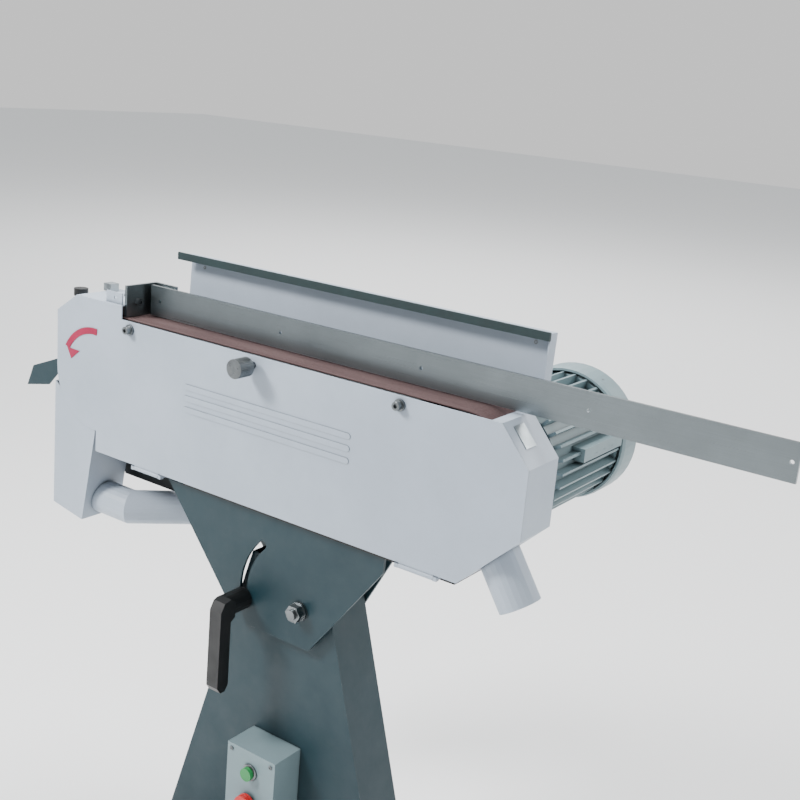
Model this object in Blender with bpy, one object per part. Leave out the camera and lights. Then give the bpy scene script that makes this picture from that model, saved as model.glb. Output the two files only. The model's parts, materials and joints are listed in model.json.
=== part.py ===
"""Industrial belt grinder on a pedestal: tilting belt arm, motor drive, hinged door and spark guard.

Lengths are millimetres from the arm's datum: X from the contact wheel's end of the door, Y back
from the door's outer face, Z up from the door's lower edge.  spot() turns them into world metres,
where the origin is on the floor under the middle of the base plate.
"""
import math

import bmesh
import bpy
from mathutils import Matrix, Vector

MM = 0.001
DATUM = Vector((-422.0, -78.0, 720.0))
GAP = 0.3

# Belt and wheels
BELT_WIDTH = 75.0
BELT_THICK = 1.2
BELT_FRONT = 6.5
BELT_BACK = BELT_FRONT + BELT_WIDTH
WHEEL_R = 90.0
WHEEL_Z = 151.0
CONTACT_X = 8.0
DRIVE_X = 728.0
TYRE_INNER_R = 78.0
BELT_INNER_R = WHEEL_R + GAP
BELT_OUTER_R = BELT_INNER_R + BELT_THICK
BELT_TOP = WHEEL_Z + BELT_OUTER_R

# Sheet-metal housing
SHEET = 2.0
DOOR_TOP = 240.6
DOOR_PEAK = 262.6
DOOR_LEFT = -92.6
DOOR_RIGHT = 832.6
DOOR_ARC_R = 96.5
DOOR_ARC_Z = 132.7
STEP_X = 66.2
KNOB_X = 355.0
KNOB_Z = 226.0
SCREW_XS = (87.0, 625.5)
SCREW_Z = 227.5
HINGE_Y = 1.0
HINGE_Z = -4.5
HINGE_SPANS = ((99.0, 168.0), (640.0, 712.0))
HOOD_BEND_Y = 82.0
HOOD_REAR_Y = 115.0

# Frame
BACKBONE_Y = 94.0
BACKBONE_THICK = 6.0
BACKBONE_REAR = BACKBONE_Y + BACKBONE_THICK
FRONT_BRACKET_Y = 15.0
BRACKET_THICK = 5.0
REAR_BRACKET_Y = 120.0
PIVOT = (463.0, -145.0)
PIVOT_R = 8.0
SLOT_R = 117.3
SLOT_HALF_WIDTH = 7.2
SLOT_START = 134.3
SLOT_END = 190.5
STUD = (347.0, -162.0)
STUD_R = 6.0

# Pedestal
FLOOR_Z = -720.0
BASE_THICK = 10.0
BASE_HALF = (270.0, 230.0)
COLUMN_FRONT = 30.0
COLUMN_BACK = 116.0
COLUMN_TOP = -85.0
COLUMN_WALL = 3.0

# Motor
MOTOR_X = DRIVE_X
SHAFT_R = 11.7
MOTOR_FRONT = 118.3
MOTOR_BACK = 299.0
MOTOR_CORE_R = 84.0
MOTOR_FIN_R = 97.0
STATOR_R = 63.0
COWL_R = 104.0
COWL_END = 357.0

# Fence and spark guard
FENCE_Y = 54.0
FENCE_THICK = 5.0
FENCE_SPAN = (76.0, 1149.5)
FENCE_Z = (244.6, 294.6)
FENCE_HOLES = (97.0, 358.0, 619.0, 880.0, 1141.0)
GUARD_SPAN = (100.0, 788.0)
GUARD_AXIS = (118.0, 244.0)
GUARD_FOOT = 252.0
GUARD_HINGE = (160.0, 596.0)
GUARD_TOP = 345.0

# Contact wheel's tension slide
SLIDE_TRAVEL = 10.0
TENSION_PIVOT = (106.0, WHEEL_Z)
AXLE_R = 9.7


def spot(x, y, z):
    """World position in metres of a point given in arm millimetres."""
    return (DATUM + Vector((x, y, z))) * MM


# ---------------------------------------------------------------- outlines

def arc(centre, radius, start, end, steps):
    """Points along an arc, angles in degrees, both ends included."""
    turns = [math.radians(start + (end - start) * i / steps) for i in range(steps + 1)]
    return [(centre[0] + radius * math.cos(t), centre[1] + radius * math.sin(t)) for t in turns]


def circle(centre, radius, sides=24):
    """Points of a full circle, the first not repeated."""
    return arc(centre, radius, 0, 360, sides)[:-1]


def rectangle(low, high):
    """The four corners of an upright rectangle."""
    return [(low[0], low[1]), (high[0], low[1]), (high[0], high[1]), (low[0], high[1])]


def stadium(start, end, radius, steps=8):
    """A bar with round ends lying along the first coordinate."""
    return arc(end, radius, -90, 90, steps) + arc(start, radius, 90, 270, steps)


# ---------------------------------------------------------------- meshes

def to_world(axis, first, second, along):
    """Place an outline point, given across an axis, at a distance along that axis."""
    if axis == "X":
        return spot(along, first, second)
    if axis == "Y":
        return spot(first, along, second)
    return spot(first, second, along)


def make_object(name, bm, material, parent=None, smooth=False):
    """Turn a bmesh in world metres into an object whose origin is its parent's, or its middle."""
    bmesh.ops.remove_doubles(bm, verts=bm.verts, dist=1e-6)
    bmesh.ops.recalc_face_normals(bm, faces=bm.faces)
    lows = Vector([min(v.co[i] for v in bm.verts) for i in range(3)])
    highs = Vector([max(v.co[i] for v in bm.verts) for i in range(3)])
    origin = parent["world"] if parent else (lows + highs) / 2
    origin = Vector(origin)
    bmesh.ops.translate(bm, verts=bm.verts, vec=-origin)
    mesh = bpy.data.meshes.new(name)
    bm.to_mesh(mesh)
    bm.free()
    obj = bpy.data.objects.new(name, mesh)
    bpy.context.scene.collection.objects.link(obj)
    mesh.materials.append(material)
    if parent:
        obj.parent = parent["empty"]
    else:
        obj.location = origin
    if smooth:
        mesh.shade_smooth()
    return obj


def extruded(axis, loops, start, end):
    """A bmesh plate: the first loop is the edge, the others are holes."""
    bm = bmesh.new()
    for loop in loops:
        verts = [bm.verts.new(to_world(axis, a, b, start)) for a, b in loop]
        for i, vert in enumerate(verts):
            bm.edges.new((vert, verts[(i + 1) % len(verts)]))
    bmesh.ops.triangle_fill(bm, use_beauty=True, use_dissolve=False, edges=bm.edges[:])
    grown = bmesh.ops.extrude_face_region(bm, geom=bm.faces[:])
    moved = [g for g in grown["geom"] if isinstance(g, bmesh.types.BMVert)]
    shift = to_world(axis, 0, 0, end) - to_world(axis, 0, 0, start)
    bmesh.ops.translate(bm, verts=moved, vec=shift)
    bmesh.ops.recalc_face_normals(bm, faces=bm.faces)
    return bm


def plate(name, axis, loops, start, end, material, parent=None, smooth=False):
    """An extruded plate object."""
    return make_object(name, extruded(axis, loops, start, end), material, parent, smooth)


def block(name, low, high, material, parent=None):
    """An upright box between two corners."""
    loops = [rectangle((low[0], low[2]), (high[0], high[2]))]
    return plate(name, "Y", loops, low[1], high[1], material, parent)


def ring(name, axis, centre, inner, outer, start, end, material, parent=None, sides=32):
    """A tube or, with no inner radius, a rod."""
    loops = [circle(centre, outer, sides)]
    if inner:
        loops.append(circle(centre, inner, sides))
    return plate(name, axis, loops, start, end, material, parent, True)


def lathe(name, centre, profile, material, parent=None, sides=32):
    """Turn a closed profile of (radius, y) points about an axis along Y."""
    bm = bmesh.new()
    rows = []
    for i in range(sides):
        turn = 2 * math.pi * i / sides
        row = []
        for radius, y in profile:
            point = spot(centre[0] + radius * math.cos(turn), y, centre[1] + radius * math.sin(turn))
            row.append(bm.verts.new(point))
        rows.append(row)
    count = len(profile)
    for i in range(sides):
        here, there = rows[i], rows[(i + 1) % sides]
        for j in range(count):
            k = (j + 1) % count
            bm.faces.new((here[j], here[k], there[k], there[j]))
    bmesh.ops.remove_doubles(bm, verts=bm.verts, dist=1e-6)
    bmesh.ops.dissolve_degenerate(bm, dist=1e-7, edges=bm.edges)
    return make_object(name, bm, material, parent, True)


def swept_tube(name, stations, inner, outer, material, parent, sides=24):
    """A round tube through stations of (centre, end-plane normal, run direction)."""
    bm = bmesh.new()
    rings = []
    for radius in (outer, inner):
        for centre, normal, run in stations:
            side = run.cross(Vector((0, 0, 1))).normalized()
            lift = side.cross(run).normalized()
            row = []
            for i in range(sides):
                turn = 2 * math.pi * i / sides
                offset = side * (radius * math.cos(turn)) + lift * (radius * math.sin(turn))
                offset -= run * (offset.dot(normal) / run.dot(normal))
                row.append(bm.verts.new(spot(*(centre + offset))))
            rings.append(row)
    count = len(stations)
    order = list(range(count)) + list(range(2 * count - 1, count - 1, -1))
    for place, index in enumerate(order):
        here, there = rings[index], rings[order[(place + 1) % len(order)]]
        for i in range(sides):
            k = (i + 1) % sides
            bm.faces.new((here[i], here[k], there[k], there[i]))
    return make_object(name, bm, material, parent, True)


def sheet(name, faces, thickness, material, parent):
    """A folded sheet: quads of arm points, thickened on the outside of their winding."""
    bm = bmesh.new()
    for face in faces:
        bm.faces.new([bm.verts.new(spot(*corner)) for corner in face])
    bmesh.ops.remove_doubles(bm, verts=bm.verts, dist=1e-6)
    mesh = bpy.data.meshes.new(name)
    origin = Vector(parent["world"])
    bmesh.ops.translate(bm, verts=bm.verts, vec=-origin)
    bm.to_mesh(mesh)
    bm.free()
    obj = bpy.data.objects.new(name, mesh)
    bpy.context.scene.collection.objects.link(obj)
    mesh.materials.append(material)
    obj.parent = parent["empty"]
    solidify = obj.modifiers.new("Thickness", "SOLIDIFY")
    solidify.thickness = thickness * MM
    solidify.offset = -1.0
    solidify.use_even_offset = True
    return obj


def combine(obj, tool, operation):
    """Apply a Boolean with another object and remove that object."""
    bpy.context.view_layer.update()
    boolean = obj.modifiers.new("Shape", "BOOLEAN")
    boolean.operation = operation
    boolean.object = tool
    boolean.solver = "EXACT"
    graph = bpy.context.evaluated_depsgraph_get()
    mesh = bpy.data.meshes.new_from_object(obj.evaluated_get(graph), depsgraph=graph)
    obj.modifiers.clear()
    material = obj.data.materials[0]
    obj.data = mesh
    mesh.materials.clear()
    mesh.materials.append(material)
    bpy.data.objects.remove(tool, do_unlink=True)
    return obj


def cut(obj, tool):
    """Remove a tool's volume."""
    return combine(obj, tool, "DIFFERENCE")


def join(obj, tool):
    """Weld another solid on."""
    return combine(obj, tool, "UNION")


def group(name, x, y, z, parent=None):
    """An empty on a joint's axis, with its world position."""
    world = spot(x, y, z)
    empty = bpy.data.objects.new(name, None)
    empty.empty_display_size = 0.05
    bpy.context.scene.collection.objects.link(empty)
    empty.location = world
    if parent:
        empty.parent = parent["empty"]
        empty.location = world - parent["world"]
    return {"empty": empty, "world": world}


def material(name, colour, roughness, metallic=0.0):
    """A Principled material."""
    made = bpy.data.materials.new(name)
    made.use_nodes = True
    shader = made.node_tree.nodes["Principled BSDF"]
    shader.inputs["Base Color"].default_value = (*colour, 1.0)
    shader.inputs["Roughness"].default_value = roughness
    shader.inputs["Metallic"].default_value = metallic
    made.diffuse_color = (*colour, 1.0)
    return made


# ---------------------------------------------------------------- pedestal

def column_x(side, z):
    """X of the column's left (-1) or right (1) edge at a height."""
    if side < 0:
        return 309.0 + 0.3 * (z + 217.0)
    return 534.0 - 0.2924 * (z + 217.0)


def build_column(petrol):
    """The flared sheet column with two welded gussets behind it."""
    foot = FLOOR_Z + BASE_THICK + GAP
    def trapezium(inset, low, high):
        return [(column_x(-1, low) + inset, low), (column_x(1, low) - inset, low),
                (column_x(1, high) - inset, high), (column_x(-1, high) + inset, high)]
    column = plate("column", "Y", [trapezium(0, foot, COLUMN_TOP)], COLUMN_FRONT, COLUMN_BACK, petrol)
    hollow = trapezium(COLUMN_WALL, foot - 20, COLUMN_TOP + 20)
    cut(column, plate("t", "Y", [hollow], COLUMN_FRONT + COLUMN_WALL, COLUMN_BACK - COLUMN_WALL, petrol))
    cut(column, ring("t", "Y", PIVOT, 0, PIVOT_R + GAP, COLUMN_FRONT - 20, COLUMN_BACK + 20, petrol))
    cut(column, ring("t", "Y", STUD, 0, STUD_R + GAP, COLUMN_FRONT - 20, COLUMN_FRONT + 20, petrol))
    for x in (300.0, 544.0):
        gusset = [(COLUMN_BACK - 1, foot), (COLUMN_BACK + 150, foot), (COLUMN_BACK - 1, foot + 190)]
        join(column, plate("t", "X", [gusset], x - 3, x + 3, petrol))


def build_base(petrol):
    """The floor plate with its four anchor holes."""
    middle = (-DATUM.x, -DATUM.y)
    half_x, half_y = BASE_HALF
    loops = [rectangle((middle[0] - half_x, middle[1] - half_y), (middle[0] + half_x, middle[1] + half_y))]
    for sx in (-1, 1):
        for sy in (-1, 1):
            loops.append(circle((middle[0] + sx * (half_x - 30), middle[1] + sy * (half_y - 30)), 7, 16))
    plate("base_plate", "Z", loops, FLOOR_Z, FLOOR_Z + BASE_THICK, petrol)


def build_switch(grey, green, red, black):
    """The switch box low on the column's front, its two buttons and the cable gland below."""
    block("switch_box", (372, -32, -520), (472, COLUMN_FRONT - GAP, -390), grey)
    for name, z, radius, reach, paint in (("start_button", -425.0, 11.0, 8.0, green),
                                          ("stop_button", -480.0, 17.0, 12.0, red)):
        face = group(name + "_axis", 422, -32, z)
        front = -32 - 4 - reach
        ring(name, "Y", (422, z), 0, radius, front, -36.5, paint, face, 24)
    ring("cable_gland", "Z", (422, 0), 3.5, 10, -540, -520 - GAP, black, None, 16)


def build_pivot(steel, petrol):
    """The bolt the arm tilts on, its nut, the spacer beside the column and the clamp stud."""
    bolt = ring("pivot_bolt", "Y", PIVOT, 0, PIVOT_R, -8, REAR_BRACKET_Y + BRACKET_THICK + 5, steel)
    head_start = REAR_BRACKET_Y + BRACKET_THICK + GAP
    join(bolt, ring("t", "Y", PIVOT, 0, 15, head_start, head_start + 9, steel, None, 6))
    hexagon = [circle(PIVOT, 14.5, 6), circle(PIVOT, PIVOT_R + GAP, 24)]
    nut = plate("pivot_nut", "Y", hexagon, -3, 11, steel)
    join(nut, ring("t", "Y", PIVOT, PIVOT_R + GAP, 15, 10, FRONT_BRACKET_Y - GAP, steel, None, 24))
    front = FRONT_BRACKET_Y + BRACKET_THICK + GAP
    ring("pivot_spacer", "Y", PIVOT, PIVOT_R + GAP, 17, front, COLUMN_FRONT - GAP, steel)
    head = COLUMN_FRONT + COLUMN_WALL + GAP
    stud = ring("clamp_stud", "Y", STUD, 0, STUD_R, -12, head + 6, steel, None, 16)
    join(stud, ring("t", "Y", STUD, 0, 12, head, head + 8, steel, None, 6))


def build_clamp_lever(black):
    """The lever that clamps the tilt: a hub on the stud and a handle that hangs in front."""
    axis = group("clamp_axis", STUD[0], 0, STUD[1])
    lever = ring("clamp_lever", "Y", STUD, 0, 18, -34, FRONT_BRACKET_Y - GAP, black, axis, 24)
    cut(lever, ring("t", "Y", STUD, 0, STUD_R + GAP, -13, 40, black, axis, 16))
    side = [(-24, -150), (-34, -143), (-48, -146), (-56, -160), (-57, -290), (-50, -300),
            (-40, -300), (-33, -290), (-33, -182), (-24, -176)]
    join(lever, plate("t", "X", [side], 342, 366, black, axis))


# ---------------------------------------------------------------- arm frame

def build_brackets(petrol, arm):
    """The two plates that hang the arm on the pivot bolt; the front one has the tilt slot."""
    pivot_hole = circle(PIVOT, PIVOT_R + GAP, 24)
    slot = arc(PIVOT, SLOT_R + SLOT_HALF_WIDTH, SLOT_START, SLOT_END, 12)
    end = arc(PIVOT, SLOT_R, SLOT_END, SLOT_END, 1)[0]
    slot += arc(end, SLOT_HALF_WIDTH, SLOT_END, SLOT_END + 180, 6)[1:-1]
    slot += arc(PIVOT, SLOT_R - SLOT_HALF_WIDTH, SLOT_END, SLOT_START, 12)
    start = arc(PIVOT, SLOT_R, SLOT_START, SLOT_START, 1)[0]
    slot += arc(start, SLOT_HALF_WIDTH, SLOT_START + 180, SLOT_START + 360, 6)[1:-1]
    front = [(170, -9.4), (335, -206)] + arc((480, -197), 9, -90, -36, 4) + [(611, -34), (612, -9.4)]
    plate("front_bracket", "Y", [front, pivot_hole, slot], FRONT_BRACKET_Y,
          FRONT_BRACKET_Y + BRACKET_THICK, petrol, arm)
    rear = [(200, 60), (200, -12), (355, -200), (484, -200), (565, -46), (565, 60)]
    bracket = plate("rear_bracket", "Y", [rear, pivot_hole], REAR_BRACKET_Y,
                    REAR_BRACKET_Y + BRACKET_THICK, petrol, arm)
    for x in (250.0, 515.0):
        join(bracket, ring("t", "Y", (x, 25), 0, 12, BACKBONE_REAR + GAP, REAR_BRACKET_Y + 1, petrol, arm, 16))


def build_backbone(dark, arm):
    """The plate behind the belt that carries the wheels, the platen and the motor."""
    edge = [(-40, 232), (-84, 190), (-84, 60), (-20, -70), (180, -70), (205, -10), (735, -10),
            (740, 10), (797, 82), (797, 195), (768, 218), (766, 232)]
    axle_slot = stadium((CONTACT_X, WHEEL_Z), (CONTACT_X + SLIDE_TRAVEL, WHEEL_Z), AXLE_R + 2)
    shaft_hole = circle((DRIVE_X, WHEEL_Z), 40, 32)
    plate("backbone", "Y", [edge, axle_slot, shaft_hole], BACKBONE_Y, BACKBONE_REAR, dark, arm)
    block("floor_tray", (207, 12, -9), (734, BACKBONE_Y - GAP, -6), dark, arm)


def build_platen(steel, dark, arm):
    """The ground plate that backs the belt and the rail that holds it to the backbone."""
    top = WHEEL_Z + BELT_INNER_R - 0.6
    block("platen", (75, 3, top - 6), (655, BACKBONE_Y - GAP, top), steel, arm)
    block("platen_rail", (95, 84, top - 36), (635, BACKBONE_Y - GAP, top - 6 - GAP), dark, arm)


def build_belt(abrasive, arm):
    """The endless belt round both wheels."""
    start, end = (CONTACT_X, WHEEL_Z), (DRIVE_X, WHEEL_Z)
    loops = [stadium(start, end, BELT_OUTER_R, 24), stadium(start, end, BELT_INNER_R, 24)]
    plate("abrasive_belt", "Y", loops, BELT_FRONT, BELT_BACK, abrasive, arm, True)


# ---------------------------------------------------------------- wheels and drive

def wheel_profile(bore):
    """Half section of a wheel hub: a rim, a thin web and a boss."""
    rim_back, rim_front = BELT_BACK - 1, BELT_FRONT + 1
    boss = bore + 14
    return [(bore, rim_front + 6), (boss, rim_front + 6), (boss, 40), (TYRE_INNER_R - 8, 40),
            (TYRE_INNER_R - 8, rim_front), (TYRE_INNER_R, rim_front), (TYRE_INNER_R, rim_back),
            (TYRE_INNER_R - 8, rim_back), (TYRE_INNER_R - 8, 48), (boss, 48), (boss, rim_back), (bore, rim_back)]


def build_wheel(prefix, x, bore, cast, rubber, parent):
    """A cast hub with its rubber tyre."""
    lathe(prefix + "_hub", (x, WHEEL_Z), wheel_profile(bore), cast, parent, 40)
    ring(prefix + "_tyre", "Y", (x, WHEEL_Z), TYRE_INNER_R + GAP, WHEEL_R, BELT_FRONT + 1, BELT_BACK - 1,
         rubber, parent, 48)


def build_drive(steel, cast, rubber, black, arm):
    """Everything that spins on the motor's axis."""
    drive = group("drive_axis", DRIVE_X, 45, WHEEL_Z, arm)
    build_wheel("drive_wheel", DRIVE_X, SHAFT_R + GAP, cast, rubber, drive)
    ring("motor_shaft", "Y", (DRIVE_X, WHEEL_Z), 0, SHAFT_R, 16, 345, steel, drive, 20)
    ring("motor_rotor", "Y", (DRIVE_X, WHEEL_Z), SHAFT_R + GAP, STATOR_R - 1.5, 135, 280, steel, drive)
    blades = 7
    outline = []
    for i in range(blades):
        middle = 360.0 * i / blades
        outline += arc((DRIVE_X, WHEEL_Z), 84, middle - 1.5, middle + 1.5, 1)
        outline += arc((DRIVE_X, WHEEL_Z), 26, middle + 6, middle + 360.0 / blades - 6, 2)
    bore = circle((DRIVE_X, WHEEL_Z), SHAFT_R + GAP, 20)
    plate("motor_fan", "Y", [outline, bore], 312, 340, black, drive)


def build_contact_wheel(steel, cast, rubber, dark, black, arm):
    """The idler wheel on its tension slide, and the lever that lets the belt off."""
    slide = group("tension_slide", CONTACT_X, 105, WHEEL_Z, arm)
    wheel = group("contact_axis", CONTACT_X, 45, WHEEL_Z, slide)
    build_wheel("contact_wheel", CONTACT_X, 21.0, cast, rubber, wheel)
    centre = (CONTACT_X, WHEEL_Z)
    ring("contact_bearing", "Y", centre, AXLE_R + GAP, 20.7, BELT_FRONT + 8, BELT_BACK - 2, steel, slide)
    ring("contact_axle", "Y", centre, 0, AXLE_R, BELT_FRONT + 5, 112, steel, slide, 20)
    body = [rectangle((-24, WHEEL_Z - 24), (56, WHEEL_Z + 24)), circle(centre, AXLE_R + GAP, 20)]
    plate("slide_block", "Y", body, BACKBONE_REAR + GAP, 116, dark, slide)
    low, high = WHEEL_Z - 24 - GAP, WHEEL_Z + 24 + GAP
    channel = [(-50, low - 12), (88, low - 12), (88, low), (-36, low), (-36, high), (88, high),
               (88, high + 12), (-50, high + 12)]
    plate("slide_guide", "Y", [channel], BACKBONE_REAR + GAP, 116, dark, arm)
    pivot = group("tension_axis", TENSION_PIVOT[0], 105, TENSION_PIVOT[1], arm)
    lever = ring("tension_lever", "Y", TENSION_PIVOT, 0, 16, BACKBONE_REAR + GAP, 112, black, pivot, 24)
    join(lever, block("t", (99, 104, 40), (113, 112, WHEEL_Z - 4), black, pivot))
    join(lever, ring("t", "Y", (106, 40), 0, 12, 103, 140, black, pivot, 16))


# ---------------------------------------------------------------- motor

def build_motor(casing, black, arm):
    """The flange motor behind the backbone."""
    centre = (MOTOR_X, WHEEL_Z)
    bore = circle(centre, SHAFT_R + GAP, 20)
    plate("motor_flange", "Y", [circle(centre, 78, 40), bore], BACKBONE_REAR + GAP, MOTOR_FRONT - GAP,
          casing, arm, True)
    fins = 30
    outline = []
    for i in range(fins):
        middle = 360.0 * i / fins
        outline += arc(centre, MOTOR_FIN_R, middle - 1.0, middle + 1.0, 1)
        outline += arc(centre, MOTOR_CORE_R, middle + 1.8, middle + 360.0 / fins - 1.8, 1)
    body = plate("motor_body", "Y", [outline, circle(centre, STATOR_R, 32)], MOTOR_FRONT, MOTOR_BACK,
                 casing, arm)
    join(body, block("t", (803, 172, 158), (829, 296, 178), casing, arm))
    plate("motor_end_shield", "Y", [circle(centre, 94, 40), bore], MOTOR_BACK + GAP, 307, casing, arm, True)
    inner = COWL_R - 3
    cowl = [(MOTOR_FIN_R + 1.4, 299.5), (COWL_R - 2, 299.5), (COWL_R, 306), (COWL_R, 345), (COWL_R - 8, COWL_END),
            (42, COWL_END), (42, COWL_END - 3), (COWL_R - 11, COWL_END - 3), (inner, 343), (inner, 308),
            (MOTOR_FIN_R + 1.4, 308)]
    lathe("motor_cowl", centre, cowl, casing, arm, 48)
    block("terminal_box", (586, 150, 112), (MOTOR_X - MOTOR_FIN_R - GAP, 240, 190), black, arm)


# ---------------------------------------------------------------- housing

def build_left_hood(white, black, pale, arm):
    """The hood over the contact wheel, its light fitting and the tracking knob."""
    outer = [(61.5, DOOR_PEAK), (-43, DOOR_PEAK), (DOOR_LEFT, 228.5), (DOOR_LEFT, 145)]
    front, back = SHEET + GAP, BACKBONE_Y - GAP
    faces = []
    for (xa, za), (xb, zb) in zip(outer, outer[1:]):
        faces.append([(xa, front, za), (xa, back, za), (xb, back, zb), (xb, front, zb)])
    hood = sheet("left_hood", faces, SHEET, white, arm)
    tab_loops = [rectangle((20, DOOR_PEAK - 1), (58, 281)), circle((41.6, 272), 3, 12)]
    join(hood, plate("t", "Y", tab_loops, 8, 10, white, arm))
    cut(hood, ring("t", "Z", (-70, 31), 0, 5, 215, 255, white, arm, 16))
    block("hood_fitting", (-49, 62, DOOR_PEAK + GAP), (-31, 80, 276), pale, arm)
    turn = group("tracking_axis", -70, 31, 260, arm)
    knob = ring("tracking_knob", "Z", (-70, 31), 0, 12, 253.5, 266, black, turn, 20)
    join(knob, ring("t", "Z", (-70, 31), 0, 4, 222, 254, black, turn, 12))


def build_spark_spout(petrol, arm):
    """The short spout beside the contact wheel that throws sparks down."""
    cheek = [(-93.5, 142), (-163.4, 114.2), (-180, 75.6), (-121, 88.5), (-93.5, 118)]
    spout = plate("spark_spout", "Y", [cheek], 5, 80, petrol, arm)
    inside = [(-80, 145), (-80, 100), (-125, 60), (-190, 60), (-186, 73), (-167.6, 109.8)]
    inside = [(-80, 144.6), (-80, 100), (-125, 60), (-200, 60), (-181.7, 73.2), (-165.1, 111.8)]
    cut(spout, plate("t", "Y", [inside], 5 + SHEET, 80 - SHEET, petrol, arm))


def build_chute(white, arm):
    """The dust chute below the contact wheel."""
    outline = [(-100, 101), (-103.6, -124), (-28, -137), (4, 36)]
    chute = plate("dust_chute", "Y", [outline], SHEET + GAP, 87.3, white, arm)
    inside = [(-98, 130), (-101.5, -122.3), (-29.7, -134.6), (1.8, 36), (12, 90)]
    cut(chute, plate("t", "Y", [inside], SHEET * 2 + GAP, 85.3, white, arm))
    cut(chute, ring("t", "X", (48, -103), 0, 27, -40, 20, white, arm, 24))


def build_left_duct(white, arm):
    """The mitred suction duct from the chute back past the column."""
    first = Vector((1, 0, 0))
    turn = math.radians(45.4)
    second = Vector((math.cos(turn), math.sin(turn), 0))
    knee = Vector((48, 48, -103))
    wall_run = Vector((173, 0, -32)).normalized()
    wall_normal = Vector((wall_run.x, 0, wall_run.z))
    start = Vector((-21.4, 48, -103))
    stations = [(start, wall_normal, first), (knee, (first + second).normalized(), first),
                (knee + second * 150, second, second)]
    tube = swept_tube("left_duct", stations, 27.5, 29.5, white, arm)
    return tube


def hood_rings():
    """Outlines of the right hood at its front, its bend and its rear edge, bottom to top."""
    edge = [(745, 2.2), (DOOR_RIGHT, 88.3), (DOOR_RIGHT, 187.4), (786.7, DOOR_TOP), (770, DOOR_TOP)]
    rear = [(747, 8.5), (812, 96), (812, 180), (776, 222), (770, 222)]
    return edge, rear


def build_right_hood(white, label, arm):
    """The folded hood round the drive wheel, with a blank rating plate on its slope."""
    edge, rear = hood_rings()
    rows = [(edge, SHEET + GAP), (edge, HOOD_BEND_Y), (rear, HOOD_REAR_Y)]
    faces = []
    for (near, near_y), (far, far_y) in zip(rows, rows[1:]):
        for i in range(len(edge) - 1):
            a, b, c, d = near[i], near[i + 1], far[i + 1], far[i]
            faces.append([(a[0], near_y, a[1]), (d[0], far_y, d[1]), (c[0], far_y, c[1]), (b[0], near_y, b[1])])
    hood = sheet("right_hood", faces, SHEET, white, arm)
    direction = Vector((0.55, 0, -0.835)).normalized()
    mouth = Vector((781.9, 45, 38.4))
    rod = swept_rod("t", mouth - direction * 30, mouth + direction * 30, 28.5, white, arm)
    cut(hood, rod)
    slope = math.atan2(187.4 - DOOR_TOP, DOOR_RIGHT - 786.7)
    sticker = oriented_box("rating_plate", (804, 33, 220.6), (34, 26, 0.8), slope, 0.7, label, arm)
    return sticker


def swept_rod(name, start, end, radius, material, parent):
    """A solid rod between two points that lie in one X-Z plane."""
    run = (end - start).normalized()
    bm = bmesh.new()
    bmesh.ops.create_cone(bm, cap_ends=True, segments=24, radius1=radius * MM, radius2=radius * MM,
                          depth=(end - start).length * MM)
    turn = run.to_track_quat("Z", "Y").to_matrix().to_4x4()
    place = Matrix.Translation(spot(*((start + end) / 2)))
    bmesh.ops.transform(bm, matrix=place @ turn, verts=bm.verts)
    return make_object(name, bm, material, parent, True)


def oriented_box(name, centre, size, slope, lift, material, parent):
    """A box tilted about Y by a slope and lifted off the face that it lies on."""
    bm = bmesh.new()
    bmesh.ops.create_cube(bm, size=1.0)
    bmesh.ops.scale(bm, vec=Vector(size) * MM, verts=bm.verts)
    turn = Matrix.Rotation(-slope, 4, "Y")
    normal = turn @ Vector((0, 0, 1))
    place = Matrix.Translation(spot(*(Vector(centre) + normal * lift)))
    bmesh.ops.transform(bm, matrix=place @ turn, verts=bm.verts)
    return make_object(name, bm, material, parent)


def build_right_duct(white, arm):
    """The suction stub below the drive wheel, cut flush with the hood's lower slope."""
    direction = Vector((0.55, 0, -0.835)).normalized()
    slope = Vector((DOOR_RIGHT - 745, 0, 88.3 - 2.2)).normalized()
    normal = Vector((slope.z, 0, -slope.x))
    mouth = Vector((781.9, 45, 38.4)) + normal * GAP
    end = Vector((821.5, 45, -21.8))
    stations = [(mouth, normal, direction), (end, direction, direction)]
    swept_tube("right_duct", stations, 29, 31, white, arm)


# ---------------------------------------------------------------- fence

def build_fence(steel, arm):
    """The long straight fence over the belt and the angle that carries it."""
    middle = sum(FENCE_Z) / 2
    loops = [rectangle((FENCE_SPAN[0], FENCE_Z[0]), (FENCE_SPAN[1], FENCE_Z[1]))]
    loops += [circle((x, middle), 3, 12) for x in FENCE_HOLES]
    plate("fence_rail", "Y", loops, FENCE_Y, FENCE_Y + FENCE_THICK, steel, arm)
    low = BELT_TOP + 0.9
    angle = [(62, 10), (67, 10), (67, 73), (113, 73), (113, 78), (62, 78)]
    plate("stop_angle", "Z", [angle], low, 295, steel, arm)
    behind = FENCE_Y + FENCE_THICK + GAP
    block("fence_spacer", (80, behind, 250), (110, 73 - GAP, 290), steel, arm)
    screw = ring("fence_screw", "X", (32, 267), 0, 6.5, 67 + GAP, 75, steel, arm, 16)
    cut(screw, ring("t", "X", (32, 267), 0, 3.4, 71, 80, steel, arm, 6))


# ---------------------------------------------------------------- spark guard

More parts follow.
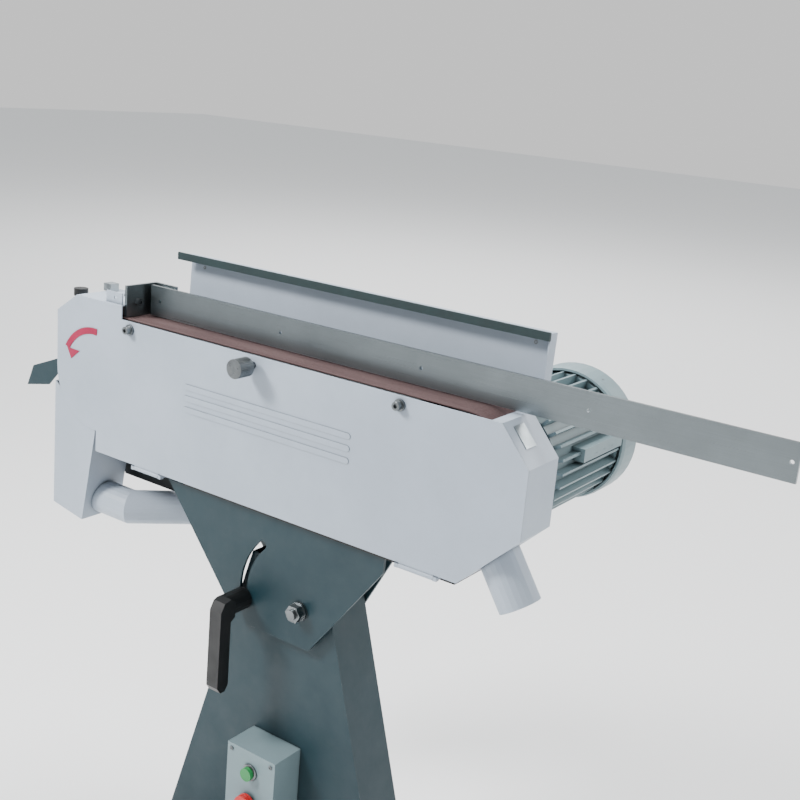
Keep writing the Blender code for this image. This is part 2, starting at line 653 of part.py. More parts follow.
def build_guard(white, lip, steel, dark, arm):
    """The hinged sheet behind the belt, with its flanges, edging, pin and bracket."""
    hinge = group("guard_axis", 444, GUARD_AXIS[0], GUARD_AXIS[1], arm)
    lean = math.tan(math.radians(3))
    def web(z):
        return GUARD_AXIS[0] - 1 + (z - GUARD_FOOT) * lean
    profile = [(web(GUARD_FOOT), GUARD_FOOT), (web(GUARD_FOOT) + SHEET, GUARD_FOOT), (web(GUARD_TOP) + SHEET, GUARD_TOP),
               (100, GUARD_TOP + 1.2), (100, GUARD_TOP + 1.2 - SHEET), (web(GUARD_TOP - 2), GUARD_TOP - 2)]
    guard = plate("spark_guard", "X", [profile], *GUARD_SPAN, white, hinge)
    end_flange = [(100, 254), (web(254) + 1, 254), (web(GUARD_TOP) + 1, GUARD_TOP - 0.5), (104, GUARD_TOP - 0.5)]
    join(guard, plate("t", "X", [end_flange], GUARD_SPAN[1] - SHEET, GUARD_SPAN[1], white, hinge))
    join(guard, ring("t", "X", GUARD_AXIS, 3.5, 6, *GUARD_HINGE, white, hinge, 16))
    low, high = GUARD_HINGE
    join(guard, block("t", (low, GUARD_AXIS[0] - 0.8, 248.6), (high, GUARD_AXIS[0] + 0.8, 254), white, hinge))
    plate("guard_edging", "X", [rectangle((96, 336.5), (99.7, 348.5))], GUARD_SPAN[0] - 8, GUARD_SPAN[1] + 3,
          lip, hinge)
    posts = (low - 12, high + 4)
    ring("guard_pin", "X", GUARD_AXIS, 0, 3, posts[0] - 2, posts[1] + 10, steel, arm, 12)
    bracket = block("guard_bracket", (posts[0], BACKBONE_REAR + GAP, 196), (posts[1] + 8, 106, 216), dark, arm)
    for x in posts:
        join(bracket, block("t", (x, BACKBONE_REAR + GAP, 197), (x + 8, 126, 249), dark, arm))
    cut(bracket, ring("t", "X", GUARD_AXIS, 0, 3 + GAP, 120, 770, dark, arm, 12))


# ---------------------------------------------------------------- door

def door_outline():
    """The front door's edge, anticlockwise from its lower left corner."""
    end = math.degrees(math.acos((8.1 - DOOR_LEFT - DOOR_ARC_R) / DOOR_ARC_R))
    swing = arc((DOOR_LEFT + DOOR_ARC_R, DOOR_ARC_Z), DOOR_ARC_R, 180, 360 - end, 14)
    return [(8.1, 0), (742.9, 0), (DOOR_RIGHT, 88.3), (DOOR_RIGHT, 187.4), (786.7, DOOR_TOP),
            (STEP_X, DOOR_TOP), (STEP_X, DOOR_PEAK), (-43, DOOR_PEAK), (DOOR_LEFT, 228.5)] + swing


def arrow_outline():
    """A curved arrow that shows which way the belt runs."""
    centre = (0, 133)
    head = [(-67, 170), (-56, 150), (-35, 167)]
    outer = arc(centre, 80.5, 84, 152, 9)
    inner = arc(centre, 69.5, 150, 84, 9)
    return outer + head + inner


def build_door(white, crimson, steel, arm):
    """The hinged front door with its beads, screws, locking knob and the direction arrow."""
    hinge = group("door_hinge", 350, HINGE_Y, HINGE_Z, arm)
    holes = [circle((KNOB_X, KNOB_Z), 5.5, 20)] + [circle((x, SCREW_Z), 4.3, 16) for x in SCREW_XS]
    door = plate("front_door", "Y", [door_outline()] + holes, 0, SHEET, white, hinge)
    for z in (124.0, 142.5, 161.0):
        join(door, plate("t", "Y", [stadium((218, z), (541, z), 4.5, 6)], -1.2, 1, white, hinge))
    for low, high in HINGE_SPANS:
        centre = (HINGE_Y, HINGE_Z)
        knuckle = ring("t", "X", centre, 2.2, 3.6, low + 6.4, high - 6.4, white, hinge, 12)
        neck = block("t", (low + 6.4, 0.2, HINGE_Z + 2.6), (high - 6.4, SHEET - 0.2, 1), white, hinge)
        join(door, knuckle)
        join(door, neck)
    plate("direction_arrow", "Y", [arrow_outline()], -0.3 - 0.5, -0.3, crimson, hinge)
    for name, x in zip(("door_screw_left", "door_screw_right"), SCREW_XS):
        screw = lathe(name, (x, SCREW_Z), [(0, -8), (3.2, -8), (3.2, -12), (6.2, -12), (6.5, -11.5), (6.5, -3),
                      (9, -3), (9, -0.3), (4, -0.3), (4, 11), (0, 11)], steel, hinge, 16)
    build_knob(steel, hinge)
    for name, (low, high) in zip(("door_hinge_left", "door_hinge_right"), HINGE_SPANS):
        leaf = block(name, (low, 5.2, -6.2), (high, 11.7, -3.8), white, arm)
        for x in (low, high - 6):
            join(leaf, block("t", (x, HINGE_Y - 3, HINGE_Z - 3), (x + 6, 5.4, HINGE_Z + 3), white, arm))
        pin = (HINGE_Y, HINGE_Z)
        join(leaf, ring("t", "X", pin, 0, 1.8, low + 0.5, high - 0.5, white, arm, 12))


def build_knob(steel, hinge):
    """The knurled knob that locks the door."""
    centre = (KNOB_X, KNOB_Z)
    turn = group("knob_axis", KNOB_X, 0, KNOB_Z, hinge)
    ridges = 40
    knurl = [(KNOB_X + r * math.cos(t), KNOB_Z + r * math.sin(t))
             for i in range(ridges * 2)
             for r, t in [(15.0 - 0.6 * (i % 2), math.pi * i / ridges)]]
    knob = plate("door_knob", "Y", [knurl], -42, -14, steel, turn)
    join(knob, ring("t", "Y", centre, 0, 5, -15, 10, steel, turn, 20))


# ---------------------------------------------------------------- assembly

def clear_scene():
    """Remove every object that the file starts with."""
    for obj in list(bpy.data.objects):
        bpy.data.objects.remove(obj, do_unlink=True)


def build():
    """Model the whole grinder."""
    clear_scene()
    white = material("housing_paint", (0.62, 0.67, 0.70), 0.42)
    petrol = material("petrol_paint", (0.018, 0.07, 0.085), 0.5)
    dark = material("dark_steel", (0.05, 0.06, 0.065), 0.5, 0.6)
    steel = material("ground_steel", (0.5, 0.52, 0.53), 0.32, 1.0)
    cast = material("cast_metal", (0.3, 0.31, 0.32), 0.55, 0.8)
    rubber = material("wheel_rubber", (0.02, 0.02, 0.02), 0.85)
    abrasive = material("abrasive_cloth", (0.15, 0.075, 0.07), 0.95)
    black = material("black_plastic", (0.012, 0.013, 0.014), 0.45)
    casing = material("motor_enamel", (0.32, 0.41, 0.42), 0.45)
    crimson = material("arrow_film", (0.41, 0.012, 0.09), 0.4)
    label = material("blank_label", (0.5, 0.53, 0.54), 0.4, 0.3)
    red = material("red_plastic", (0.5, 0.01, 0.01), 0.35)
    green = material("green_plastic", (0.02, 0.3, 0.06), 0.35)
    edging = material("edging_rubber", (0.012, 0.045, 0.045), 0.7)

    build_base(petrol)
    build_column(petrol)
    build_switch(casing, green, red, black)
    build_pivot(steel, petrol)
    build_clamp_lever(black)

    arm = group("arm_axis", PIVOT[0], 70, PIVOT[1])
    build_brackets(petrol, arm)
    build_backbone(dark, arm)
    build_platen(steel, dark, arm)
    build_belt(abrasive, arm)
    build_drive(steel, cast, rubber, black, arm)
    build_contact_wheel(steel, cast, rubber, dark, black, arm)
    build_motor(casing, black, arm)
    build_left_hood(white, black, label, arm)
    build_spark_spout(petrol, arm)
    build_chute(white, arm)
    build_left_duct(white, arm)
    build_right_hood(white, label, arm)
    build_right_duct(white, arm)
    build_fence(steel, arm)
    build_guard(white, edging, steel, dark, arm)
    build_door(white, crimson, steel, arm)


build()
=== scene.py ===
"""Looks for the belt grinder: surfaces for every part, small fittings, studio and camera."""
import json
import math

import bmesh
import bpy
from mathutils import Matrix, Vector


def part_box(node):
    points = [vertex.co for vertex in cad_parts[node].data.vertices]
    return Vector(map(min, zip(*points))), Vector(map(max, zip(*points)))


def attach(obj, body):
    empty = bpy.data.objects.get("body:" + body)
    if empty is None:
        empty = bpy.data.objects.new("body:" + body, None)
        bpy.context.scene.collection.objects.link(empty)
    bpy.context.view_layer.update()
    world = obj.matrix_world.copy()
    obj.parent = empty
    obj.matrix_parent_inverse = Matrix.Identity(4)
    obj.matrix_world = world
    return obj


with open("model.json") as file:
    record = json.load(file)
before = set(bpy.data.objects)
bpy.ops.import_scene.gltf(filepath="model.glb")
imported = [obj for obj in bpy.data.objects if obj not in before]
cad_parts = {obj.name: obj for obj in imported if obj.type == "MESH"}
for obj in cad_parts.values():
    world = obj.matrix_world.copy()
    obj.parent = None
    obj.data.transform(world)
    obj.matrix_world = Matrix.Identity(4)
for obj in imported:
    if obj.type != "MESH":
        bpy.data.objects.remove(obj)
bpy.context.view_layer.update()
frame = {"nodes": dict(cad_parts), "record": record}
nodes = frame["nodes"]

MM = 0.001

# Rounded edge widths, in millimetres, of the nodes whose edges show
EDGE_WIDTHS = {
    "front_door": 0.5, "column": 1.2, "front_bracket": 0.6, "rear_bracket": 0.6, "right_hood": 0.9,
    "left_hood": 0.7, "dust_chute": 0.7, "spark_guard": 0.5, "fence_rail": 0.3, "motor_body": 0.4,
    "base_plate": 1.0, "switch_box": 2.0, "clamp_lever": 2.5, "stop_angle": 0.4, "terminal_box": 2.5,
    "spark_spout": 0.6, "stop_button": 1.8, "start_button": 1.5, "pivot_nut": 0.6, "door_knob": 0.6,
    "tracking_knob": 1.2, "backbone": 0.6, "platen": 0.5, "motor_fan": 0.5, "tension_lever": 1.5,
    "guard_edging": 0.8, "fence_spacer": 0.5, "slide_block": 0.8, "motor_end_shield": 1.2,
}
EDGE_ANGLE = math.radians(32)

# Area lights: name, place in metres, size in metres, power in watts
LIGHTS = (
    ("key", (-1.7, -2.1, 2.9), 0.8, 165),
    ("rim", (2.4, 2.6, 2.6), 1.6, 60),
    ("top", (-0.3, 0.3, 3.2), 1.2, 80),
    ("wash_left", (-3.2, 4.6, 4.0), 4.0, 220),
    ("wash_right", (3.4, 6.0, 4.0), 4.0, 220),
)
LIGHT_AIM = Vector((0, 0, 0.85))

CAMERA_PLACE = (1.0599, -1.3457, 1.3833)
CAMERA_DEGREES = {"yaw": 34.07, "pitch": 15.66, "roll": -5.04}
CAMERA_LENS_MM = 52.28
SENSOR_WIDTH_MM = 36


# ---------------------------------------------------------------- surfaces

def linear(colour):
    """Linear RGB of an 8-bit sRGB colour."""
    def channel(value):
        value /= 255.0
        return value / 12.92 if value <= 0.04045 else ((value + 0.055) / 1.055) ** 2.4
    return tuple(channel(value) for value in colour)


class Surface:
    """Builds one procedural material node by node."""

    def __init__(self, name):
        self.material = bpy.data.materials.new(name)
        self.material.use_nodes = True
        self.tree = self.material.node_tree
        self.shader = self.tree.nodes["Principled BSDF"]
        self.place = self.node("ShaderNodeTexCoord").outputs["Object"]

    def node(self, kind, **settings):
        made = self.tree.nodes.new(kind)
        for key, value in settings.items():
            setattr(made, key, value)
        return made

    def link(self, source, target):
        self.tree.links.new(source, target)

    def stretch(self, scale):
        """Object coordinates scaled per axis."""
        mapping = self.node("ShaderNodeMapping")
        mapping.inputs["Scale"].default_value = scale
        self.link(self.place, mapping.inputs["Vector"])
        return mapping.outputs["Vector"]

    def noise(self, scale, detail=4.0, rough=0.5, vector=None):
        """A noise texture's factor."""
        made = self.node("ShaderNodeTexNoise")
        made.inputs["Scale"].default_value = scale
        made.inputs["Detail"].default_value = detail
        made.inputs["Roughness"].default_value = rough
        self.link(vector or self.place, made.inputs["Vector"])
        return made.outputs["Fac"]

    def remap(self, factor, low, high, to_low, to_high):
        """A clamped linear remap."""
        made = self.node("ShaderNodeMapRange")
        made.inputs["From Min"].default_value = low
        made.inputs["From Max"].default_value = high
        made.inputs["To Min"].default_value = to_low
        made.inputs["To Max"].default_value = to_high
        self.link(factor, made.inputs["Value"])
        return made.outputs["Result"]

    def mix(self, factor, first, second):
        """Blend two colours, each an RGB tuple or a socket."""
        made = self.node("ShaderNodeMix", data_type="RGBA")
        self.link(factor, made.inputs["Factor"])
        for name, value in (("A", first), ("B", second)):
            socket = [s for s in made.inputs if s.name == name and s.type == "RGBA"][0]
            if isinstance(value, tuple):
                socket.default_value = (*value, 1.0)
            else:
                self.link(value, socket)
        return [s for s in made.outputs if s.type == "RGBA"][0]

    def math(self, operation, first, second):
        """A two-input math node; the second input may be a number."""
        made = self.node("ShaderNodeMath", operation=operation)
        made.use_clamp = True
        self.link(first, made.inputs[0])
        if isinstance(second, (int, float)):
            made.inputs[1].default_value = second
        else:
            self.link(second, made.inputs[1])
        return made.outputs[0]

    def edges(self, radius_mm):
        """1 on sharp edges, 0 on flats, from the difference a rounded normal makes."""
        bevel = self.node("ShaderNodeBevel", samples=4)
        bevel.inputs["Radius"].default_value = radius_mm * MM
        geometry = self.node("ShaderNodeNewGeometry")
        dot = self.node("ShaderNodeVectorMath", operation="DOT_PRODUCT")
        self.link(bevel.outputs["Normal"], dot.inputs[0])
        self.link(geometry.outputs["Normal"], dot.inputs[1])
        return self.remap(dot.outputs["Value"], 0.995, 0.93, 0.0, 1.0)

    def crease_shade_mask(self, reach_mm):
        """Mask for painted shade: 1 in seams and inner corners, 0 in the open."""
        made = self.node("ShaderNodeAmbientOcclusion", samples=6)
        made.inputs["Distance"].default_value = reach_mm * MM
        return self.remap(made.outputs["AO"], 0.35, 0.9, 1.0, 0.0)

    def bump(self, factor, strength, distance_mm):
        """A bump on the shader's normal."""
        made = self.node("ShaderNodeBump")
        made.inputs["Strength"].default_value = strength
        made.inputs["Distance"].default_value = distance_mm * MM
        self.link(factor, made.inputs["Height"])
        self.link(made.outputs["Normal"], self.shader.inputs["Normal"])

    def finish(self, colour, roughness, metallic=0.0):
        """Connect colour and roughness and set the metallic value."""
        self.link(colour, self.shader.inputs["Base Color"])
        self.link(roughness, self.shader.inputs["Roughness"])
        self.shader.inputs["Metallic"].default_value = metallic
        return self.material


def painted(name, colour, roughness, grain=0.1, worn=(150, 155, 158), coat=0.0):
    """Powder coat: orange-peel bump, faint blotches, dust, slightly rubbed edges and painted shade in seams
    and inner corners.
    """
    s = Surface(name)
    base = linear(colour)
    blotch = s.remap(s.noise(5.0, 5.0, 0.6), 0.35, 0.65, 0.0, 1.0)
    shade = s.mix(blotch, tuple(c * 0.93 for c in base), tuple(min(c * 1.05, 1.0) for c in base))
    dust = s.remap(s.noise(38.0, 6.0, 0.7), 0.52, 0.8, 0.0, 0.22)
    shade = s.mix(dust, shade, tuple(c * 0.72 + 0.03 for c in base))
    chips = s.math("MULTIPLY", s.edges(0.9), s.remap(s.noise(90.0, 3.0), 0.5, 0.62, 0.0, 0.55))
    shade = s.mix(chips, shade, linear(worn))
    # Painted shade: the colour is darkened in seams and inner corners, which ambient occlusion finds, and
    # noise breaks it up.
    crease_shade = s.math("MULTIPLY", s.crease_shade_mask(7.0), s.remap(s.noise(55.0, 4.0), 0.2, 0.6, 0.45, 0.9))
    shade = s.mix(crease_shade, shade, tuple(c * 0.22 for c in base))
    gloss = s.remap(s.noise(22.0, 5.0, 0.65), 0.3, 0.7, roughness - 0.06, roughness + 0.09)
    s.bump(s.noise(620.0, 2.0), grain, 0.25)
    if coat:
        s.shader.inputs["Coat Weight"].default_value = coat
        s.shader.inputs["Coat Roughness"].default_value = 0.25
    return s.finish(shade, gloss)


def brushed(name, colour, scale, roughness, spread=0.12, depth=0.25):
    """Ground steel: long fine scratches along the small scale axis, with faint clouding."""
    s = Surface(name)
    base = linear(colour)
    lines = s.noise(1.0, 6.0, 0.7, s.stretch(scale))
    cloud = s.remap(s.noise(7.0, 5.0, 0.6), 0.3, 0.7, 0.0, 1.0)
    shade = s.mix(cloud, tuple(c * 0.78 for c in base), tuple(min(c * 1.12, 1.0) for c in base))
    streak = s.remap(lines, 0.35, 0.65, 0.0, 0.6)
    shade = s.mix(streak, shade, tuple(c * 0.86 for c in base))
    bright = s.math("MULTIPLY", s.edges(0.6), s.remap(s.noise(60.0, 2.0), 0.3, 0.6, 0.2, 0.8))
    shade = s.mix(bright, shade, tuple(min(c * 1.3, 1.0) for c in base))
    gloss = s.remap(lines, 0.3, 0.7, roughness - spread / 2, roughness + spread)
    s.bump(lines, depth, 0.05)
    return s.finish(shade, gloss, 1.0)


def metal(name, colour, roughness, dark=0.6, grain=260.0, depth=0.15):
    """Machined or plated metal with grime in patches and brighter edges."""
    s = Surface(name)
    base = linear(colour)
    patch = s.remap(s.noise(26.0, 6.0, 0.65), 0.35, 0.7, 0.0, 1.0)
    shade = s.mix(patch, base, tuple(c * dark for c in base))
    bright = s.math("MULTIPLY", s.edges(0.5), s.remap(s.noise(70.0, 2.0), 0.3, 0.6, 0.2, 0.8))
    shade = s.mix(bright, shade, tuple(min(c * 1.4, 1.0) for c in base))
    gloss = s.remap(s.noise(48.0, 5.0), 0.3, 0.7, roughness - 0.07, roughness + 0.12)
    s.bump(s.noise(grain, 3.0), depth, 0.15)
    return s.finish(shade, gloss, 1.0)


def moulded(name, colour, roughness, grain=380.0, depth=0.15, lift=1.5):
    """Plastic or rubber with a fine texture, faint dust and scuffed edges."""
    s = Surface(name)
    base = linear(colour)
    patch = s.remap(s.noise(18.0, 5.0, 0.6), 0.35, 0.65, 0.0, 1.0)
    shade = s.mix(patch, tuple(c * 0.85 for c in base), tuple(c * 1.15 for c in base))
    scuff = s.math("MULTIPLY", s.edges(0.7), s.remap(s.noise(80.0, 3.0), 0.45, 0.6, 0.0, 0.5))
    shade = s.mix(scuff, shade, tuple(min(c * lift + 0.05, 1.0) for c in base))
    gloss = s.remap(s.noise(40.0, 4.0), 0.3, 0.7, roughness - 0.06, roughness + 0.1)
    s.bump(s.noise(grain, 2.0), depth, 0.2)
    return s.finish(shade, gloss)


def abrasive():
    """Brown coated abrasive: dense grit, worn lighter where the work touches it."""
    s = Surface("abrasive_cloth")
    base = linear((72, 48, 48))
    grit = s.node("ShaderNodeTexVoronoi")
    grit.inputs["Scale"].default_value = 1400.0
    s.link(s.place, grit.inputs["Vector"])
    speck = s.remap(grit.outputs["Distance"], 0.1, 0.6, 0.0, 1.0)
    shade = s.mix(speck, tuple(c * 1.35 for c in base), tuple(c * 0.6 for c in base))
    wear = s.remap(s.noise(1.0, 5.0, 0.6, s.stretch((6.0, 42.0, 6.0))), 0.42, 0.68, 0.0, 0.4)
    shade = s.mix(wear, shade, linear((96, 76, 74)))
    gloss = s.remap(s.noise(300.0, 3.0), 0.3, 0.7, 0.78, 0.97)
    s.bump(grit.outputs["Distance"], 0.8, 0.4)
    return s.finish(shade, gloss)


def surfaces():
    """Every material, by the record's slot."""
    return {
        "housing_paint": painted("housing_paint", (166, 177, 190), 0.42),
        "petrol_paint": painted("petrol_paint", (10, 42, 50), 0.5, 0.16, (96, 112, 114)),
        "motor_enamel": painted("motor_enamel", (118, 138, 143), 0.42, 0.12),
        "dark_steel": painted("dark_steel", (12, 15, 16), 0.5, 0.2, (110, 112, 114)),
        "ground_steel": brushed("ground_steel", (132, 140, 143), (5.0, 900.0, 900.0), 0.3),
        "bright_steel": metal("bright_steel", (128, 132, 134), 0.3),
        "cast_metal": metal("cast_metal", (140, 143, 145), 0.5, 0.55, 180.0, 0.4),
        "wheel_rubber": moulded("wheel_rubber", (34, 35, 36), 0.82, 300.0, 0.35),
        "abrasive_cloth": abrasive(),
        "black_plastic": moulded("black_plastic", (8, 9, 10), 0.42),
        "edging_rubber": moulded("edging_rubber", (14, 38, 40), 0.6),
        "arrow_film": moulded("arrow_film", (150, 6, 58), 0.38, 500.0, 0.05, 1.2),
        "blank_label": metal("blank_label", (172, 180, 184), 0.4, 0.85, 500.0, 0.05),
        "red_plastic": moulded("red_plastic", (190, 26, 22), 0.3, 400.0, 0.06, 1.2),
        "green_plastic": moulded("green_plastic", (36, 132, 66), 0.3, 400.0, 0.06, 1.2),
        "nyloc_blue": moulded("nyloc_blue", (34, 70, 150), 0.45, 400.0, 0.06, 1.2),
    }


def dress_cad(looks):
    """Give each CAD node its material, and the nodes whose edges show a small rounded edge."""
    for entry in frame["record"]["subparts"]:
        obj = nodes[entry["node"]]
        obj.data.materials.clear()
        obj.data.materials.append(looks[entry["material_slot"]])
    for name, width in EDGE_WIDTHS.items():
        bevel = nodes[name].modifiers.new("Edge", "BEVEL")
        bevel.width = width * MM
        bevel.segments = 2
        bevel.limit_method = "ANGLE"
        bevel.angle_limit = EDGE_ANGLE
        bevel.use_clamp_overlap = True
        bevel.harden_normals = True


# ---------------------------------------------------------------- small fittings

def add(name, bm, look, body, smooth_deg=40.0):
    """Turn a bmesh in world metres into a piece that rides on a body."""
    bmesh.ops.recalc_face_normals(bm, faces=bm.faces)
    mesh = bpy.data.meshes.new(name)
    bm.to_mesh(mesh)
    bm.free()
    mesh.shade_smooth()
    mesh.set_sharp_from_angle(angle=math.radians(smooth_deg))
    mesh.materials.append(look)
    obj = bpy.data.objects.new(name, mesh)
    bpy.context.scene.collection.objects.link(obj)
    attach(obj, body)
    return obj


def turned(profile, place, axis, sides=28):
    """A bmesh turned from (radius, height) points about an axis through a place, both in metres."""
    bm = bmesh.new()
    axis = Vector(axis).normalized()
    base = axis.to_track_quat("Z", "Y").to_matrix()
    rows = []
    for i in range(sides):
        turn = 2 * math.pi * i / sides
        rows.append([bm.verts.new(base @ Vector((r * math.cos(turn), r * math.sin(turn), h)) + Vector(place))
                     for r, h in profile])
    for i in range(sides):
        here, there = rows[i], rows[(i + 1) % sides]
        for j in range(len(profile) - 1):
            bm.faces.new((here[j], there[j], there[j + 1], here[j + 1]))
    bmesh.ops.remove_doubles(bm, verts=bm.verts, dist=1e-7)
    return bm


def pan_head(radius, height, recess=0.45):
    """Profile of a pan-head screw with a round recess."""
    return [(0.0, height * 0.45), (radius * recess, height * 0.45), (radius * recess, height),
            (radius * 0.82, height), (radius, height * 0.6), (radius, 0.0), (0.0, 0.0)]


def cube(low, high):
    """An upright box bmesh between two corners."""
    bm = bmesh.new()
    bmesh.ops.create_cube(bm, size=1.0)
    low, high = Vector(low), Vector(high)
    size = high - low
    bmesh.ops.scale(bm, vec=size, verts=bm.verts)
    bmesh.ops.translate(bm, vec=(low + high) / 2, verts=bm.verts)
    bmesh.ops.bevel(bm, geom=bm.edges, offset=min(size) * 0.18, segments=2, affect="EDGES")
    return bm


def motor_details(looks):
    """Cowl screws, the cowl's grille bars, the lugs on the fin rail and the terminal box's lid screws."""
    low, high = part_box("motor_cowl")
    centre = (low + high) / 2
    radius = (high.x - low.x) / 2
    for index, angle in enumerate((-28.0, 62.0, 152.0, 242.0)):
        turn = math.radians(angle)
        out = Vector((math.cos(turn), 0, math.sin(turn)))
        place = centre + out * (radius - 4.2 * MM)
        place.y = low.y + 21 * MM
        add(f"cowl_screw_{index}", turned(pan_head(4.4 * MM, 4 * MM), place, out), looks["bright_steel"],
            "arm")
    for index in range(5):
        x = centre.x + (index - 2) * 14 * MM
        half = math.sqrt((44 * MM) ** 2 - (x - centre.x) ** 2)
        bar = cube((x - 1.6 * MM, high.y - 2.6 * MM, centre.z - half),
                   (x + 1.6 * MM, high.y - 0.6 * MM, centre.z + half))
        add(f"cowl_bar_{index}", bar, looks["motor_enamel"], "arm")
    body_low, body_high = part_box("motor_body")
    rail_x = body_high.x - 7 * MM
    for index in range(3):
        y = body_low.y + (92 + 26 * index) * MM
        lug = turned([(0, 6.2 * MM), (6 * MM, 6 * MM), (8 * MM, 2 * MM), (8.5 * MM, 0), (0, 0)],
                     (rail_x, y, centre.z + 17 * MM), (1, 0, 0.35))
        add(f"motor_lug_{index}", lug, looks["motor_enamel"], "arm")
    box_low, box_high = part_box("terminal_box")
    inset = 8 * MM
    across = (box_low.y + inset, box_high.y - inset)
    heights = (box_low.z + inset, box_high.z - inset)
    corners = [(y, z) for y in across for z in heights]
    for index, (y, z) in enumerate(corners):
        screw = turned(pan_head(3.2 * MM, 1.8 * MM), (box_low.x + 0.2 * MM, y, z), (-1, 0, 0))
        add(f"terminal_screw_{index}", screw, looks["bright_steel"], "arm")


def hood_details(looks):
    """The two small bolts and the locking nut on the left hood's top, and the guard's rivets."""
    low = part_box("left_hood")[0]
    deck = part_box("hood_fitting")[0].z - 0.3 * MM
    for index, (dx, dy) in enumerate(((100, 62), (118, 70))):
        bolt = turned(pan_head(5 * MM, 5 * MM), (low.x + dx * MM, low.y + dy * MM, deck), (0, 0, 1))
        add(f"hood_bolt_{index}", bolt, looks["bright_steel"], "arm")
    nut = (low.x + 104 * MM, low.y + 22 * MM, deck)
    head = turned([(0, 5 * MM), (3 * MM, 5 * MM), (5.5 * MM, 4 * MM), (6 * MM, 0), (0, 0)], nut, (0, 0, 1), 6)
    add("hood_nut", head, looks["bright_steel"], "arm")
    insert = turned([(0, 2 * MM), (3.6 * MM, 2 * MM), (4 * MM, 0), (0, 0)],
                    Vector(nut) + Vector((0, 0, 4.6 * MM)), (0, 0, 1))
    add("hood_nut_ring", insert, looks["nyloc_blue"], "arm")
    low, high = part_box("spark_guard")
    front = low.y + 19.2 * MM
    for index, x in enumerate((low.x + 30 * MM, high.x - 30 * MM)):
        z = high.z - 20 * MM
        rivet = turned(pan_head(3.4 * MM, 1.6 * MM, 0.3), (x, front + 2.9 * MM, z), (0, -1, 0.05))
        add(f"guard_rivet_{index}", rivet, looks["bright_steel"], "guard")


def switch_details(looks):
    """The switch box's lid screws and a collar round each button."""
    low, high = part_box("switch_box")
    inset = 9 * MM
    corners = [(x, z) for x in (low.x + inset, high.x - inset) for z in (low.z + inset, high.z - inset)]
    for index, (x, z) in enumerate(corners):
        add(f"switch_screw_{index}", turned(pan_head(3.5 * MM, 2 * MM), (x, low.y, z), (0, -1, 0)),
            looks["bright_steel"], "stand")
    for name, extra in (("start_button", 3), ("stop_button", -4)):
        b_low, b_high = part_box(name)
        centre = (b_low + b_high) / 2
        radius = (b_high.x - b_low.x) / 2 + extra * MM
        bore = radius - 5 * MM
        profile = [(bore, 0), (radius, 0), (radius, 2.4 * MM), (radius - 1 * MM, 3.2 * MM),
                   (bore, 3.2 * MM), (bore, 0)]
        collar = turned(profile, (centre.x, low.y, centre.z), (0, -1, 0))
        add(name + "_collar", collar, looks["bright_steel"], "stand")


def frame_details(looks):
    """Screws in the door hinges, the platen rail's bolt row seen from behind and the gland's nut."""
    for side in ("left", "right"):
        low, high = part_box("door_hinge_" + side)
        for index in range(3):
            x = low.x + (high.x - low.x) * (0.22 + 0.28 * index)
            place = (x, high.y - 4 * MM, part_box("floor_tray")[0].z + 2.9 * MM)
            add(f"hinge_{side}_screw_{index}", turned(pan_head(2.4 * MM, 1.2 * MM), place, (0, 0, -1), 16),
                looks["bright_steel"], "arm")
    low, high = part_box("platen_rail")
    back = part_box("backbone")[1].y
    for index in range(5):
        x = low.x + (high.x - low.x) * (0.06 + 0.22 * index)
        bolt = turned(pan_head(5.5 * MM, 5 * MM), (x, back, (low.z + high.z) / 2 - 3 * MM), (0, 1, 0), 6)
        add(f"rail_bolt_{index}", bolt, looks["bright_steel"], "arm")
    low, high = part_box("cable_gland")
    centre = (low + high) / 2
    nut = turned([(0.0105, 0), (0.0125, 0), (0.0125, 0.007), (0.0105, 0.007), (0.0105, 0)],
                 (centre.x, centre.y, high.z - 0.0085), (0, 0, 1), 6)
    add("gland_nut", nut, looks["black_plastic"], "stand")


# ---------------------------------------------------------------- studio and camera

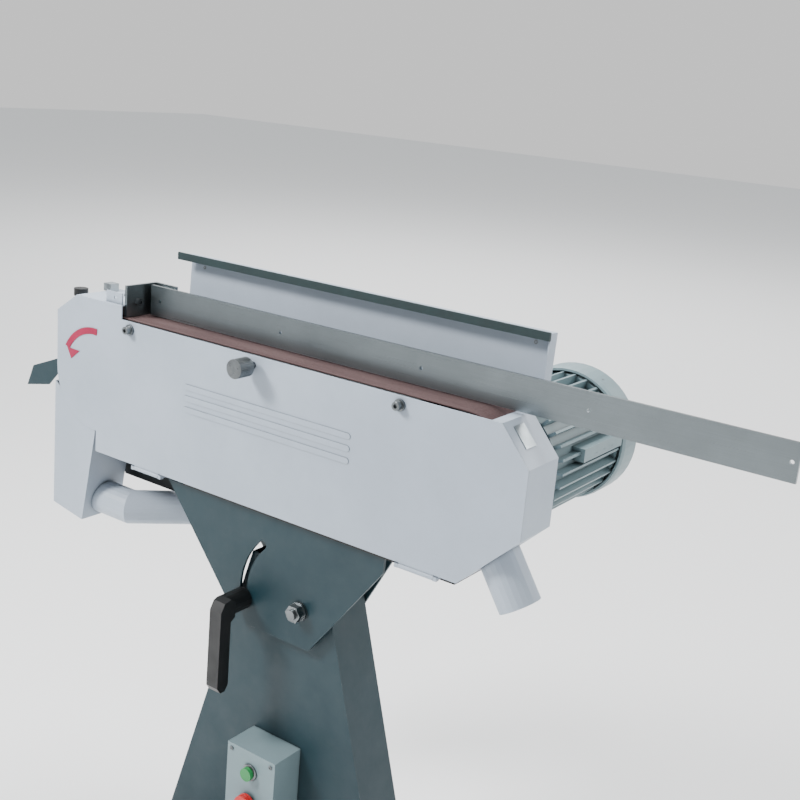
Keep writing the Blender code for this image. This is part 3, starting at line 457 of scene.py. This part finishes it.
def studio():
    """A pale floor, a pale world and large soft lights."""
    bpy.ops.mesh.primitive_plane_add(size=40, location=(0, 0, 0))
    floor = bpy.context.object
    floor.name = "floor"
    paint = bpy.data.materials.new("floor_paint")
    paint.use_nodes = True
    paint.node_tree.nodes["Principled BSDF"].inputs["Base Color"].default_value = (0.9, 0.9, 0.9, 1)
    paint.node_tree.nodes["Principled BSDF"].inputs["Roughness"].default_value = 0.9
    floor.data.materials.append(paint)
    world = bpy.data.worlds.new("studio")
    world.use_nodes = True
    tree = world.node_tree
    seen = tree.nodes["Background"]
    seen.inputs["Color"].default_value = (1.0, 1.0, 1.0, 1)
    seen.inputs["Strength"].default_value = 0.86
    lighting = tree.nodes.new("ShaderNodeBackground")
    lighting.inputs["Color"].default_value = (0.95, 0.98, 1.0, 1)
    lighting.inputs["Strength"].default_value = 0.8
    path = tree.nodes.new("ShaderNodeLightPath")
    blend = tree.nodes.new("ShaderNodeMixShader")
    tree.links.new(path.outputs["Is Camera Ray"], blend.inputs[0])
    tree.links.new(lighting.outputs[0], blend.inputs[1])
    tree.links.new(seen.outputs[0], blend.inputs[2])
    tree.links.new(blend.outputs[0], tree.nodes["World Output"].inputs["Surface"])
    bpy.context.scene.world = world
    for name, place, size, power in LIGHTS:
        light = bpy.data.lights.new(name, "AREA")
        light.size = size
        light.energy = power
        obj = bpy.data.objects.new(name, light)
        obj.location = place
        target = Vector((place[0], place[1] + 1, 0)) if name.startswith("wash") else LIGHT_AIM
        obj.rotation_euler = (target - Vector(place)).to_track_quat("-Z", "Y").to_euler()
        bpy.context.scene.collection.objects.link(obj)


def camera():
    """A camera at the photograph's viewing angle."""
    yaw, pitch, roll = (math.radians(CAMERA_DEGREES[name]) for name in ("yaw", "pitch", "roll"))
    forward = Vector((-math.sin(yaw) * math.cos(pitch), math.cos(yaw) * math.cos(pitch), -math.sin(pitch)))
    right = Vector((math.cos(yaw), math.sin(yaw), 0))
    down = forward.cross(right)
    across = right * math.cos(roll) + down * math.sin(roll)
    up = right * math.sin(roll) - down * math.cos(roll)
    data = bpy.data.cameras.new("camera")
    data.lens = CAMERA_LENS_MM
    data.sensor_width = SENSOR_WIDTH_MM
    obj = bpy.data.objects.new("camera", data)
    turn = Matrix((across, up, -forward)).transposed().to_4x4()
    obj.matrix_world = Matrix.Translation(CAMERA_PLACE) @ turn
    bpy.context.scene.collection.objects.link(obj)
    bpy.context.scene.camera = obj


looks = surfaces()
dress_cad(looks)
motor_details(looks)
hood_details(looks)
switch_details(looks)
frame_details(looks)
studio()
camera()
